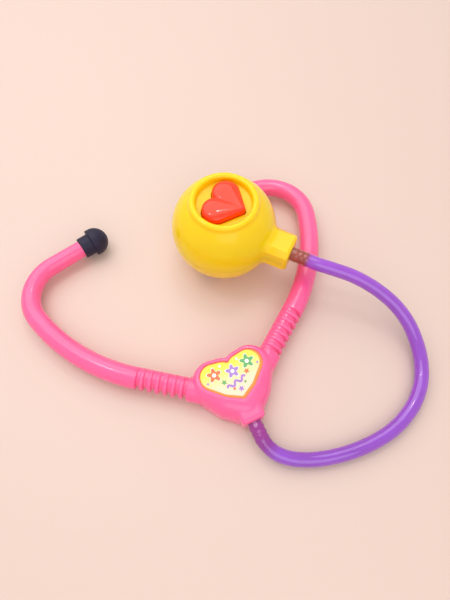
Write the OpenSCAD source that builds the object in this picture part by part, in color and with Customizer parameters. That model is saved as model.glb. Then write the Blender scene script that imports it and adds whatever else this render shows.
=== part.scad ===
// Toy stethoscope lying on a floor, in millimetres, +Z up, ears toward +Y.
// Two springy arms leave a puffy heart-shaped yoke, and a soft hose runs from
// the yoke's tip to a ball-shaped chest piece with a push-button heart.
// The origin is on the floor, under the yoke's flat back cover, on the middle
// line and level with the roots of the necks.

/* [Arms] */
// Height of the arms' centre line above the floor
plane_z = 7; // [6.95:0.05:8]
// Diameter of an arm at its ribbed neck
arm_root_d = 10.2; // [8.5:0.1:10.6]
// Diameter of an arm where its ear tip starts
arm_end_d = 8.5; // [7:0.1:10]
// Distance of each neck's first groove from the middle plane
root_x = 20.3; // [19.5:0.1:22]
// Angle of the necks above a line straight across
splay = 36.5; // [32:0.5:40]
// Radius of the long bow past each neck
bow_r = 92; // [85:1:100]
// Angle in degrees that the bow past a neck turns through
bow_turn = 36.5; // [34:0.5:40]
// Radius of the tight bend toward the ear
bend_r = 19.5; // [17:0.5:24]
// Angle in degrees that the tight bend turns through
bend_turn = 95; // [88:1:98]
// Straight run from the tight bend to the ear tip
ear_run = 16.5; // [12:0.5:18]

/* [Ribbed necks] */
// Rounded ridges on a neck
ribs = 6; // [4:1:8]
// Width of one ridge
rib_w = 2.1; // [1.6:0.1:2.6]
// Width of one groove
groove_w = 1.5; // [1:0.1:2]
// Depth of a groove on the outer side
groove_deep = 1.7; // [1:0.1:2.2]
// Diameter of the shank that enters the yoke
shank_d = 6.6; // [5.5:0.1:7]
// Length of the shank with its end flange
shank_len = 9.4; // [9:0.1:10]
// Diameter of the end flange
flange_d = 9; // [8:0.1:9.2]
// Thickness of the end flange
flange_t = 2; // [1.4:0.1:2.2]

/* [Ear tips] */
// Diameter of the sleeve next to the arm
sleeve_d = 10.6; // [9.5:0.1:12]
// Length of the sleeve
sleeve_len = 5.6; // [4:0.1:7]
// Diameter of the ear dome
dome_d = 13.8; // [12:0.1:13.9]
// Length of the ear dome
dome_len = 8.6; // [7:0.1:10]
// Diameter of the peg that holds the tip
peg_d = 5; // [4:0.1:6]
// Length of that peg
peg_len = 9; // [6:0.5:11]

/* [Yoke] */
// Thickness of the yoke
yoke_h = 13.8; // [13.2:0.1:15]
// Radius of the heart's two lobes
lobe_r = 10.4; // [9.8:0.1:10.8]
// Distance of each lobe's centre from the middle plane
lobe_x = 8.9; // [8.6:0.1:9.3]
// Place of the lobes' centres along Y
lobe_y = -3; // [-3.4:0.1:-2.6]
// Radius of the brows that lead from the lobes to the notch
brow_r = 10.6; // [10:0.1:11]
// Distance of each brow's centre from the middle plane
brow_x = 5.4; // [5:0.1:5.8]
// Place of the brows' centres along Y
brow_y = -3.8; // [-4.2:0.1:-3.4]
// Radius of the discs that round the heart's two sides out
side_r = 11.5; // [11:0.1:12]
// Distance of each of these discs from the middle plane
side_x = 3.6; // [3.2:0.1:4]
// Place of these discs along Y
side_y = -9.3; // [-9.7:0.1:-8.9]
// Radius of the heart's tip
tip_r = 8; // [7.4:0.1:8.4]
// Place of the tip's centre along Y
tip_y = -17; // [-17.4:0.1:-16.4]
// Height at which the sides start to slope inward
slope_z = 5.5; // [4.5:0.1:6.5]
// Wall of the yoke at its side
yoke_wall = 2.6; // [2.4:0.1:2.8]
// Wall of the yoke at its top
yoke_roof = 2.2; // [1.8:0.1:2.6]
// Thickness of the back cover
cover_t = 2; // [1.6:0.1:2.4]
// Diameter of the collars that the necks leave
collar_d = 11; // [10.8:0.1:12]
// Width of the square block that the hose leaves
block_w = 11; // [10:0.1:12]
// Place of the block's end face along Y
block_end = -25.5; // [-27:0.5:-24.5]

/* [Sticker] */
// Radius of the sticker's two lobes
sticker_lobe_r = 6.2; // [5.8:0.1:6.6]
// Distance of each of its lobes from the middle plane
sticker_lobe_x = 8.4; // [8:0.1:8.8]
// Place of its lobes along Y
sticker_lobe_y = -1.6; // [-2:0.1:-1.2]
// Radius of its brows
sticker_brow_r = 6.6; // [6.2:0.1:7]
// Distance of each of its brows from the middle plane
sticker_brow_x = 4.6; // [4.2:0.1:5]
// Place of its brows along Y
sticker_brow_y = -2.6; // [-3:0.1:-2.2]
// Radius of the discs that round its two sides out
sticker_side_r = 7; // [6.6:0.1:7.4]
// Distance of each of these discs from the middle plane
sticker_side_x = 2.6; // [2.2:0.1:3]
// Place of these discs along Y
sticker_side_y = -6.1; // [-6.5:0.1:-5.7]
// Radius of its tip
sticker_tip_r = 0.6; // [0.4:0.1:1]
// Place of its tip along Y
sticker_tip_y = -14.9; // [-15.3:0.1:-14.5]
// Flat margin of the yoke round the sticker
sticker_margin = 0.9; // [0.6:0.1:1.2]
// Depth of the flat recess that the sticker lies in
sticker_deep = 0.8; // [0.6:0.1:1.2]
// Thickness of the sticker
sticker_t = 0.3; // [0.2:0.05:0.5]

/* [Hose] */
// Outer diameter of the hose
hose_d = 6.5; // [6:0.1:7]
// Outer diameter of the barbs inside the hose
barb_d = 5; // [4.4:0.1:5.2]
// Length of each barbed spigot
spigot_len = 8; // [6:0.5:9]
// Bore through both spigots
air_d = 2.2; // [1.6:0.1:2.6]

/* [Chest piece] */
// Radius of the ball
ball_r = 25; // [24:0.1:26]
// Height of the cap that the flat base cuts off the ball
base_cut = 3; // [2:0.1:3.5]
// Clearance between the ball and the right ear tip
ear_gap = 1.25; // [1.25:0.05:3]
// Heading in degrees from the right ear tip to the ball
chest_bearing = -104.7; // [-106:0.1:-104]
// Heading of the stem in degrees
stem_turn = -50; // [-52:0.5:-48]
// Wall of both shells
shell_wall = 2; // [1.6:0.1:2.4]
// Distance of the stem's end face from the ball's centre
stem_reach = 35; // [34:0.5:36]
// Width and height of the stem
stem_w = 14.6; // [13.5:0.1:15.4]
// Chamfer along the stem's edges
stem_bevel = 2.6; // [2:0.1:3.2]
// Length of the soft flare where the stem leaves the ball
stem_flare = 4; // [3:0.5:5]
// Radius of the crest of the lip round the recess
lip_r = 14.4; // [14:0.1:15]
// Radius of the lip's own rounding
lip_round = 1.6; // [1.2:0.1:1.8]
// Rise of the lip above the ball's surface
lip_rise = 0.8; // [0.4:0.1:1.2]
// Radius of the recess inside the lip
dish_r = 12.9; // [12.6:0.1:13.2]
// Depth of the recess below the lip's crest
dish_deep = 3.6; // [3:0.1:4]
// Radius of the flat diaphragm
diaphragm_r = 10.4; // [9:0.1:10.6]
// Thickness of the diaphragm
diaphragm_t = 1.2; // [0.8:0.1:1.6]

/* [Heart button] */
// Radius of the button's lobes
button_lobe_r = 6.4; // [6:0.1:6.6]
// Distance of each lobe's centre from the button's middle line
button_lobe_x = 5.2; // [4.9:0.1:5.3]
// Place of the lobes' centres behind the recess's middle
button_lobe_back = 1.5; // [1.2:0.1:1.8]
// Place of the tip's centre ahead of the recess's middle
button_tip_front = 8.9; // [8.5:0.1:9.3]
// Radius of the button's tip
button_tip_r = 1.6; // [1.4:0.1:2]
// Height of the button's crest above the recess's floor
button_h = 4; // [3.4:0.1:4.6]
// Travel of the button
button_travel = 2; // [1.5:0.1:2.5]
// Diameter of the return spring
spring_d = 11; // [10.4:0.1:11.6]
// Diameter of the spring's wire
wire_d = 0.9; // [0.7:0.05:1]
// Turns of the spring
spring_turns = 6; // [4:1:7]

/* [Fit] */
// Clearance round pieces that are fixed
seat_gap = 0.1; // [0.05:0.01:0.2]
// Clearance round the heart button
button_gap = 0.35; // [0.3:0.05:0.4]

/* [Hidden] */

pink = "#FF5C96";
yellow = "#FFD21E";
purple = "#8E45CC";
red = "#F5331B";
navy = "#2C2542";
steel = "silver";

// One overrun serves all cuts.
over = 1;
tuck = 0.002;
round_fn = 48;

// The arm's centre line: neck, long bow, tight bend, straight run to the ear.
function heading(a) = [cos(a), sin(a)];
function on_arc(p, a, r, turn) = p + r * [sin(a + turn) - sin(a), cos(a) - cos(a + turn)];
function arc_len(r, turn) = r * turn * PI / 180;
neck_len = ribs * rib_w + (ribs + 1) * groove_w;
root = [root_x, 0];
bow_start = root + neck_len * heading(splay);
bow_end = on_arc(bow_start, splay, bow_r, bow_turn);
bend_start_turn = splay + bow_turn;
bend_end = on_arc(bow_end, bend_start_turn, bend_r, bend_turn);
ear_turn = bend_start_turn + bend_turn;
arm_end = bend_end + ear_run * heading(ear_turn);
bow_steps = 7;
bend_steps = 8;
arm_sides = 16;
ear_belly_share = 1 / 3;
arm_line = concat(
    [bow_start],
    [for (i = [1:bow_steps]) on_arc(bow_start, splay, bow_r, bow_turn * i / bow_steps)],
    [for (i = [1:bend_steps]) on_arc(bow_end, bend_start_turn, bend_r, bend_turn * i / bend_steps)],
    [arm_end]
);
arm_turns = concat(
    [splay],
    [for (i = [1:bow_steps]) splay + bow_turn * i / bow_steps],
    [for (i = [1:bend_steps]) bend_start_turn + bend_turn * i / bend_steps],
    [ear_turn]
);
bow_len = arc_len(bow_r, bow_turn);
bend_len = arc_len(bend_r, bend_turn);
arm_len = bow_len + bend_len + ear_run;
arm_shares = concat(
    [for (i = [0:bow_steps]) bow_len * i / bow_steps],
    [for (i = [1:bend_steps]) bow_len + bend_len * i / bend_steps],
    [arm_len]
) / arm_len;

// A heart is drawn with discs [x, y, r]: its lobe, its brow, its side and its tip.
outer_heart = [
    [lobe_x, lobe_y, lobe_r],
    [brow_x, brow_y, brow_r],
    [side_x, side_y, side_r],
    [0, tip_y, tip_r]
];
sticker_heart = [
    [sticker_lobe_x, sticker_lobe_y, sticker_lobe_r],
    [sticker_brow_x, sticker_brow_y, sticker_brow_r],
    [sticker_side_x, sticker_side_y, sticker_side_r],
    [0, sticker_tip_y, sticker_tip_r]
];
top_heart = [for (disc = sticker_heart) disc + [0, 0, sticker_margin]];

// Sizes inside the yoke.
cover_inset = 1.9;
edge_round = 1.2;
cavity_top = yoke_h - yoke_roof;
cavity_shoulder_z = 10.2;
screw_shank_d = 2;
screw_head_d = 4;
screw_head_t = 1.2;
boss_d = 4.6;
yoke_screw_places = [[-5.2, 1.2], [5.2, 1.2], [0, -8]];
cradle_w = 11;
cradle_wall = 1.2;
spigot_shank_d = 4.4;
spigot_flange_d = 6;
spigot_flange_t = 1.6;
spigot_flange_y = tip_y + tip_r / 4;
barbs = 3;

// Sizes inside the chest piece.
ball_z = ball_r - base_cut;
crest_z = ball_z + sqrt(pow(ball_r, 2) - pow(lip_r, 2)) + lip_rise;
lip_z = crest_z - lip_round;
dish_z = crest_z - dish_deep;
floor_t = 1.8;
base_t = 3.4;
stem_hole_w = stem_w - 2 * (stem_bevel + shell_wall / 2);
stem_end_wall = 4;
stem_end_bevel = 1.2;
post_d = 7;
post_inset = 2.1;
post_ring_r = ball_r - shell_wall - post_inset - post_d / 2;
post_len = 10;
well_d = 6.4;
well_top = ball_z - post_len;
chest_screw_turns = [90, 180, 270];
chest_screw_d = 2.6;
chest_screw_head_d = 5.4;
chest_screw_head_t = 1.8;
chest_screw_grip = 3;
chest_screw_len = post_len + chest_screw_grip;
button_skirt = 1.5;
button_flange_t = 1.5;
button_floor_gap = 0.3;
button_flange_z = dish_z - floor_t - button_floor_gap - button_flange_t;
plunger_d = 5;
plunger_len = 12;
plunger_gap = 0.08;
guide_d = 8;
guide_room = 3.6;
guide_z = button_flange_z - button_travel - guide_room;
guide_bore_z = button_flange_z - plunger_len - button_travel - over;
spring_lap = 4;
spring_seat_z = guide_z - spring_lap;
spring_seat_d = spring_d + 2 * wire_d;
rings_a_turn = 8;
wire_sides = 6;
seam_lip_h = 1.6;
seam_lip_root = 4.5;
seam_lip_t = 1;
flare_shares = [1, 0.55, 0.25, 0.08, 0];

// The hose's route. Its ends and the straight runs out of them follow the
// spigots, and the points between lie where the loop rests or climbs.
hose_r = hose_d / 2;
stem_dir = heading(stem_turn);
ear_dome_at = arm_end + (sleeve_len + ear_belly_share * dome_len) * heading(ear_turn);
ball_apart = sqrt(pow(ball_r + dome_d / 2 + ear_gap, 2) - pow(ball_z - plane_z, 2));
chest_at = ear_dome_at + ball_apart * heading(chest_bearing);
stem_face = chest_at + stem_reach * stem_dir;
hose_middle = [
    [0.4, -34.6, 6.2], [2.6, -39.8, 5.1], [6.6, -44, 4.2], [11.8, -47.2, 3.6],
    [18.2, -49.9, 3.3], [25.8, -52, 3.3], [34.4, -53.4, 3.3], [43.5, -53.8, 3.3],
    [53, -53, 3.3], [62, -50.4, 3.3], [70.2, -46.2, 3.4], [77, -40.2, 3.9],
    [81.8, -32.5, 5.1], [84.4, -23.6, 7.1], [84.7, -14.3, 10.1], [82.4, -5.4, 13.4],
    [78.2, 2.4, 16.4], [73.3, 9, 18.8], [68.1, 14.6, 20.5], [62.6, 19.6, 21.5]
];
hose_sides = 10;
hose_route = concat(
    [[0, block_end, plane_z], [0, block_end - spigot_len / 2, plane_z]],
    hose_middle,
    [for (run = [2 * hose_d, hose_d, 0])
        concat(stem_face + run * stem_dir, ball_z)]
);

// Rings of a round tube along points, each square to its heading.
function unit(v) = v / norm(v);
function tube_ring(p, dir, r, sides) =
    let (across = unit(cross(dir, [0, 0, 1])), up = cross(across, dir))
    [for (k = [0:sides - 1]) p + r * (cos(360 * k / sides) * across + sin(360 * k / sides) * up)];
function last(list) = len(list) - 1;
function line_dir(line, i) = unit(line[min(i + 1, last(line))] - line[max(i - 1, 0)]);

module tube(line, dirs, radii, sides) {
    rings = [for (i = [0:last(line)]) each tube_ring(line[i], dirs[i], radii[i], sides)];
    walls = [
        for (i = [0:last(line) - 1], k = [0:sides - 1])
            let (a = i * sides + k, b = i * sides + (k + 1) % sides)
            each [[a, b, b + sides], [a, b + sides, a + sides]]
    ];
    first_cap = [for (k = [1:sides - 2]) [0, k + 1, k]];
    last_at = last(line) * sides;
    last_cap = [for (k = [1:sides - 2]) [last_at, last_at + k, last_at + k + 1]];
    polyhedron(concat(rings), concat(walls, first_cap, last_cap));
}

// A cylinder along +X between two places.
module along_x(d, from, to) {
    translate([from, 0, 0]) rotate([0, 90, 0]) cylinder(d = d, h = to - from, $fn = round_fn);
}

module both_sides() {
    children();
    mirror([1, 0, 0]) children();
}

module right_or_left(side) {
    if (side == "left") mirror([1, 0, 0]) children();
    else children();
}

// Frames: along a neck from its first groove, along an ear tip, along the
// hose's block, and at the chest piece with its stem along +X.
module at_root() {
    translate([root_x, 0, plane_z]) rotate([0, 0, splay]) children();
}

module at_ear() {
    translate([arm_end.x, arm_end.y, plane_z]) rotate([0, 0, ear_turn]) children();
}

module at_block(y) {
    translate([0, y, plane_z]) rotate([0, 0, -90]) children();
}

module at_chest() {
    translate([chest_at.x, chest_at.y, 0]) rotate([0, 0, stem_turn]) children();
}

// Two discs [x, y, r] and the lines that join them, drawn inward by inset. The lines
// lie a hair inside the tangents, so that they cross both circles cleanly.
module pair_2d(a, b, inset) {
    from = [a.x, a.y];
    to = [b.x, b.y];
    span = to - from;
    aim = atan2(span.y, span.x);
    lean = acos((a.z - b.z) / norm(span));
    outer = heading(aim + lean);
    inner = heading(aim - lean);
    from_r = a.z - inset;
    to_r = b.z - inset;
    translate(from) circle(r = from_r, $fn = 2 * round_fn);
    translate(to) circle(r = to_r, $fn = round_fn);
    polygon([
        from + (from_r - tuck) * outer, from + (from_r - tuck) * inner,
        to + (to_r - tuck) * inner, to + (to_r - tuck) * outer
    ]);
}

module heart_2d(discs, inset) {
    both_sides() for (i = [1:last(discs)], k = [0:i - 1]) pair_2d(discs[k], discs[i], inset);
}

module yoke_2d(inset) {
    heart_2d(outer_heart, inset);
}

// The button's outline, turned so that its tip points along +X.
module button_2d(inset) {
    lobe = [button_lobe_x, button_lobe_back, button_lobe_r];
    tip = [0, -button_tip_front, button_tip_r];
    rotate([0, 0, 90]) heart_2d([lobe, tip], inset);
}

// Yoke
// Levels of the body [z, inset, share]: a rounded lower edge, an upright side,
// and a slope that swells up and inward to the flat heart round the sticker.
edge_steps = 3;
slope_steps = 6;
yoke_levels = concat(
    [for (i = [0:edge_steps])
        let (a = 90 * i / edge_steps)
        [edge_round * (1 - cos(a)), edge_round * (1 - sin(a)), 0]],
    [for (i = [0:slope_steps])
        let (a = 90 * i / slope_steps)
        [slope_z + (yoke_h - slope_z) * sin(a), 0, 1 - cos(a)]]
);
level_t = 0.02;

module yoke_slice(level, i) {
    disc = outer_heart[i] + level[2] * (top_heart[i] - outer_heart[i]);
    translate([disc.x, disc.y, min(level[0], yoke_h - level_t)])
        cylinder(r = disc.z - level[1], h = level_t, $fn = 36);
}

module yoke_body() {
    both_sides() hull() for (level = yoke_levels, i = [0:last(outer_heart)]) yoke_slice(level, i);
    both_sides() at_root() along_x(collar_d, -shank_len, 0);
    at_block(tip_y) hose_block(tip_y - block_end);
}

// The block has a rounded square section.
module hose_block(reach) {
    edge = block_w / 4;
    rotate([90, 0, 90]) linear_extrude(reach) {
        square([block_w, block_w - 2 * edge], center = true);
        square([block_w - 2 * edge, block_w], center = true);
        for (x = [-1, 1], y = [-1, 1])
            translate([x, y] * (block_w / 2 - edge)) circle(r = edge, $fn = round_fn);
    }
}

module yoke_front() {
    color(pink) difference() {
        union() {
            difference() {
                yoke_body();
                translate([0, 0, -over]) {
                    linear_extrude(cavity_shoulder_z + over) yoke_2d(yoke_wall);
                    linear_extrude(cavity_top + over) heart_2d(sticker_heart, 0);
                }
            }
            for (p = yoke_screw_places)
                translate([p.x, p.y, cover_t + seat_gap])
                    cylinder(d = boss_d, h = yoke_h - yoke_roof / 2 - cover_t - seat_gap, $fn = round_fn);
        }
        translate([0, 0, -over]) linear_extrude(cover_t + over) yoke_2d(cover_inset);
        translate([0, 0, yoke_h - sticker_deep]) linear_extrude(sticker_deep + over)
            heart_2d(sticker_heart, -seat_gap);
        both_sides() at_root() {
            along_x(shank_d + 2 * seat_gap, -shank_len, over);
            neck_flange_room();
        }
        at_block(0) along_x(spigot_shank_d + 2 * seat_gap, -tip_y, over - block_end);
        for (p = yoke_screw_places) translate([p.x, p.y, 0])
            cylinder(d = screw_shank_d + 2 * seat_gap, h = cavity_top - over, $fn = round_fn);
    }
}

// The room that both shells leave for a neck's end flange.
module neck_flange_room() {
    along_x(flange_d + 2 * seat_gap, -shank_len - seat_gap, flange_t - shank_len + seat_gap);
}

// A half-round seat on the cover for a round bar along +X, less its children.
module cradle(from, to, bar_d) {
    difference() {
        translate([from, -cradle_w / 2, cover_t / 2 - plane_z])
            cube([to - from, cradle_w, plane_z - cover_t / 2]);
        along_x(bar_d + 2 * seat_gap, from - over, to + over);
        children();
    }
}

module yoke_back() {
    spigot_from = -spigot_flange_y;
    spigot_to = spigot_from + spigot_flange_t;
    flange_room_d = spigot_flange_d + 2 * seat_gap;
    color(pink) difference() {
        union() {
            linear_extrude(cover_t) yoke_2d(cover_inset + seat_gap);
            intersection() {
                union() {
                    both_sides() at_root()
                        cradle(-shank_len - cradle_wall, flange_t - shank_len + cradle_wall, shank_d)
                        neck_flange_room();
                    at_block(0) cradle(spigot_from - cradle_wall, spigot_to + cradle_wall, spigot_shank_d)
                        along_x(flange_room_d, spigot_from - seat_gap, spigot_to + seat_gap);
                }
                linear_extrude(yoke_h) yoke_2d(yoke_wall + 2 * seat_gap);
            }
        }
        for (p = yoke_screw_places) translate([p.x, p.y, -over]) {
            cylinder(d = screw_head_d + 2 * seat_gap, h = screw_head_t + over, $fn = round_fn);
            cylinder(d = screw_shank_d + 2 * seat_gap, h = yoke_h, $fn = round_fn);
            translate([0, 0, cover_t + over])
                cylinder(d = boss_d + 4 * seat_gap, h = yoke_h, $fn = round_fn);
        }
    }
}

module yoke_sticker() {
    color(yellow) translate([0, 0, yoke_h - sticker_deep])
        linear_extrude(sticker_t) heart_2d(sticker_heart, 0);
}

module yoke_screws() {
    shank_top = cavity_top - 2 * over;
    color(steel) for (p = yoke_screw_places) translate([p.x, p.y, 0]) {
        cylinder(d = screw_head_d, h = screw_head_t, $fn = round_fn);
        cylinder(d = screw_shank_d, h = shank_top, $fn = round_fn);
    }
}

// A barbed spigot along +X, with its flange behind the wall it passes.
module connector(reach) {
    barb_len = spigot_len / barbs;
    rotate([0, 90, 0]) rotate_extrude($fn = round_fn)
        polygon(concat(
            [[air_d / 2, 0], [spigot_flange_d / 2, 0], [spigot_flange_d / 2, spigot_flange_t]],
            [[spigot_shank_d / 2, spigot_flange_t], [spigot_shank_d / 2, reach]],
            [for (i = [0:barbs - 1]) each [
                [barb_d / 2, reach + i * barb_len],
                [spigot_shank_d / 2, reach + (i + 1) * barb_len]
            ]],
            [[air_d / 2, reach + spigot_len]]
        ));
}

module hose_connector() {
    color(pink) at_block(spigot_flange_y) connector(spigot_flange_y - block_end);
}

// Arms
module ridge() {
    rotate([0, 90, 0]) rotate_extrude($fn = round_fn) {
        square([(arm_root_d - rib_w) / 2, rib_w]);
        translate([(arm_root_d - rib_w) / 2, rib_w / 2]) intersection() {
            circle(d = rib_w, $fn = round_fn);
            translate([0, -rib_w / 2]) square(rib_w);
        }
    }
}

// The grooves leave a smooth strip along the neck's inner side.
module neck(side) {
    core_d = arm_root_d - groove_deep;
    right_or_left(side) at_root() {
        along_x(shank_d, -shank_len, over);
        along_x(flange_d, -shank_len, flange_t - shank_len);
        translate([0, groove_deep / 2, 0]) along_x(core_d, 0, neck_len);
        for (i = [0:ribs - 1]) translate([groove_w + i * (rib_w + groove_w), 0, 0]) ridge();
    }
}

module arm(side) {
    radii = [for (share = arm_shares) (arm_root_d + (arm_end_d - arm_root_d) * share) / 2];
    right_or_left(side) {
        tube(
            [for (p = arm_line) [p.x, p.y, plane_z]],
            [for (a = arm_turns) [cos(a), sin(a), 0]],
            radii, arm_sides
        );
        at_ear() along_x(peg_d, -over, peg_len);
    }
}

module ear_tip(side) {
    dome_steps = 6;
    rim = (dome_d - sleeve_d) / 4;
    dome_r = dome_d / 2;
    belly = ear_belly_share * dome_len;
    right_or_left(side) at_ear() difference() {
        rotate([0, 90, 0]) rotate_extrude($fn = round_fn)
            polygon(concat(
                [[0, seat_gap], [sleeve_d / 2 - rim, seat_gap], [sleeve_d / 2, rim]],
                [[sleeve_d / 2, sleeve_len], [dome_r - rim, sleeve_len], [dome_r, sleeve_len + rim]],
                [for (i = [0:dome_steps])
                    let (a = 90 * i / dome_steps)
                    [dome_r * cos(a), sleeve_len + belly + (dome_len - belly) * sin(a)]]
            ));
        along_x(peg_d + 2 * seat_gap, -over, peg_len + seat_gap);
    }
}

// Hose
module hose() {
    color(purple) tube(
        hose_route,
        [for (i = [0:last(hose_route)]) line_dir(hose_route, i)],
        [for (p = hose_route) hose_r],
        hose_sides
    );
}

// Chest piece
// Half outlines of the ball and of the hollow in it, for turning.
module half_2d() {
    intersection() {
        children();
        square([2 * ball_r, 4 * ball_r]);
    }
}

module ball_2d(r) {
    translate([0, ball_z]) circle(r = r, $fn = 2 * round_fn);
}

module ball(r) {
    rotate_extrude($fn = 2 * round_fn) half_2d() ball_2d(r);
}

// A slice of the stem's bevelled square section, grown by a margin.
module stem_slice(at, len, grown) {
    half = stem_w / 2 + grown;
    flat = half - stem_bevel;
    translate([at, 0, ball_z]) rotate([90, 0, 90]) linear_extrude(len)
        polygon([
            [-half, -flat], [-flat, -half], [flat, -half], [half, -flat],
            [half, flat], [flat, half], [-flat, half], [-half, flat]
        ]);
}

// The stem flares softly into the ball, and its end is bevelled all round.
module stem() {
    steps = last(flare_shares);
    flare_from = sqrt(pow(ball_r, 2) - pow(stem_w / 2, 2)) - stem_flare / 2;
    slice = stem_flare / steps / 4;
    stem_slice(0, stem_reach - stem_end_bevel, 0);
    hull() {
        stem_slice(stem_reach - stem_end_bevel - slice, slice, 0);
        stem_slice(stem_reach - slice, slice, -stem_end_bevel);
    }
    for (i = [0:steps - 1]) hull() {
        stem_slice(flare_from + i * stem_flare / steps, slice, flare_shares[i] * stem_flare);
        stem_slice(flare_from + (i + 1) * stem_flare / steps, slice, flare_shares[i + 1] * stem_flare);
    }
}

module upper_half() {
    intersection() {
        children();
        translate([-2 * ball_r, -2 * ball_r, ball_z]) cube([4 * ball_r, 4 * ball_r, 2 * ball_r]);
    }
}

module lower_half() {
    intersection() {
        children();
        translate([-2 * ball_r, -2 * ball_r, 0]) cube([4 * ball_r, 4 * ball_r, ball_z]);
    }
}

module stem_hollow() {
    translate([0, -stem_hole_w / 2, ball_z - stem_hole_w / 2])
        cube([stem_reach - stem_end_wall, stem_hole_w, stem_hole_w]);
}

module connector_hole() {
    translate([0, 0, ball_z]) along_x(spigot_shank_d + 2 * seat_gap, ball_r, stem_reach + over);
}

// The front shell's ball has a lip and a round recess at its top.
module front_dome() {
    rotate_extrude($fn = 2 * round_fn) half_2d() difference() {
        union() {
            ball_2d(ball_r);
            translate([lip_r, lip_z]) circle(r = lip_round, $fn = round_fn);
        }
        translate([0, dish_z]) square([dish_r, ball_r]);
    }
}

module front_hollow() {
    rotate_extrude($fn = 2 * round_fn) half_2d() intersection() {
        ball_2d(ball_r - shell_wall);
        square([ball_r, dish_z - floor_t]);
    }
}

module chest_front() {
    color(yellow) at_chest() difference() {
        union() {
            difference() {
                upper_half() union() {
                    front_dome();
                    stem();
                }
                front_hollow();
                stem_hollow();
            }
            intersection() {
                for (a = chest_screw_turns) rotate([0, 0, a]) translate([post_ring_r, 0, ball_z])
                    cylinder(d = post_d, h = ball_r, $fn = round_fn);
                ball(ball_r - shell_wall / 2);
            }
        }
        translate([0, 0, dish_z - floor_t - over]) linear_extrude(ball_r) button_2d(-button_gap);
        connector_hole();
        for (a = chest_screw_turns) rotate([0, 0, a]) translate([post_ring_r, 0, well_top])
            cylinder(d = chest_screw_d + 2 * seat_gap, h = chest_screw_len + seat_gap, $fn = round_fn);
    }
}

// A ring inside the wall keeps the two shells in line.
module seam_lip() {
    outer_r = ball_r - shell_wall - 2 * seat_gap;
    translate([0, 0, ball_z - seam_lip_root]) difference() {
        cylinder(r = outer_r, h = seam_lip_root + seam_lip_h, $fn = 2 * round_fn);
        translate([0, 0, -over])
            cylinder(r = outer_r - seam_lip_t, h = ball_r, $fn = 2 * round_fn);
        for (a = chest_screw_turns) rotate([0, 0, a]) translate([post_ring_r, 0, seam_lip_root])
            cylinder(d = post_d + 4 * seat_gap, h = ball_r, $fn = round_fn);
    }
}

module back_hollow() {
    rotate_extrude($fn = 2 * round_fn) half_2d() intersection() {
        ball_2d(ball_r - shell_wall);
        translate([0, base_t]) square(ball_r);
    }
}

module chest_back() {
    color(yellow) at_chest() difference() {
        union() {
            difference() {
                lower_half() union() {
                    ball(ball_r);
                    stem();
                }
                back_hollow();
            }
            seam_lip();
            lower_half() intersection() {
                for (a = chest_screw_turns) rotate([0, 0, a]) translate([post_ring_r, 0, 0])
                    cylinder(d = well_d + 2 * shell_wall, h = ball_z, $fn = round_fn);
                ball(ball_r - shell_wall / 2);
            }
            cylinder(d = guide_d, h = guide_z, $fn = round_fn);
            cylinder(d = spring_seat_d, h = spring_seat_z, $fn = round_fn);
        }
        translate([0, 0, -over])
            cylinder(r = diaphragm_r + seat_gap, h = diaphragm_t + over, $fn = round_fn);
        translate([0, 0, guide_bore_z])
            cylinder(d = plunger_d + 2 * plunger_gap, h = ball_r, $fn = round_fn);
        stem_hollow();
        connector_hole();
        for (a = chest_screw_turns) rotate([0, 0, a]) translate([post_ring_r, 0, -over]) {
            cylinder(d = well_d, h = well_top + over, $fn = round_fn);
            cylinder(d = chest_screw_d + 2 * seat_gap, h = ball_r, $fn = round_fn);
        }
    }
}

module chest_diaphragm() {
    color("white") at_chest() cylinder(r = diaphragm_r, h = diaphragm_t, $fn = round_fn);
}

module chest_screws() {
    color(steel) at_chest() for (a = chest_screw_turns) rotate([0, 0, a])
        translate([post_ring_r, 0, well_top - chest_screw_head_t]) {
            cylinder(d = chest_screw_head_d, h = chest_screw_head_t, $fn = round_fn);
            cylinder(d = chest_screw_d, h = chest_screw_head_t + chest_screw_len, $fn = round_fn);
        }
}

module chest_connector() {
    flange_x = stem_reach - stem_end_wall - spigot_flange_t;
    color(yellow) at_chest() translate([flange_x, 0, ball_z]) connector(stem_reach - flange_x);
}

// The button's two lobes swell and meet in a crease.
module button_swell(side) {
    rim_h = button_h / 4;
    hull() {
        translate([-button_lobe_back, side * button_lobe_x, rim_h])
            resize(2 * [button_lobe_r, button_lobe_r, button_h - rim_h])
            sphere(r = button_lobe_r, $fn = 32);
        translate([button_tip_front, 0, rim_h]) sphere(r = button_tip_r, $fn = 24);
    }
}

module heart_button() {
    prism_h = dish_z + button_h / 4 - button_flange_z;
    color(red) at_chest() {
        translate([0, 0, button_flange_z]) {
            linear_extrude(button_flange_t) button_2d(-button_skirt);
            linear_extrude(prism_h) button_2d(0);
        }
        translate([0, 0, dish_z]) intersection() {
            union() {
                button_swell(-1);
                button_swell(1);
            }
            cylinder(r = dish_r, h = button_h, $fn = round_fn);
        }
        translate([0, 0, button_flange_z - plunger_len])
            cylinder(d = plunger_d, h = plunger_len + over, $fn = round_fn);
    }
}

module heart_spring() {
    coil_r = (spring_d - wire_d) / 2;
    low = spring_seat_z + wire_d / 2 + seat_gap;
    high = button_flange_z - wire_d / 2 - seat_gap;
    steps = spring_turns * rings_a_turn;
    line = [
        for (i = [0:steps])
            let (a = 360 * i / rings_a_turn)
            [coil_r * cos(a), coil_r * sin(a), low + (high - low) * i / steps]
    ];
    color(steel) at_chest() tube(
        line, [for (i = [0:steps]) line_dir(line, i)], [for (p = line) wire_d / 2], wire_sides
    );
}

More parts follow.
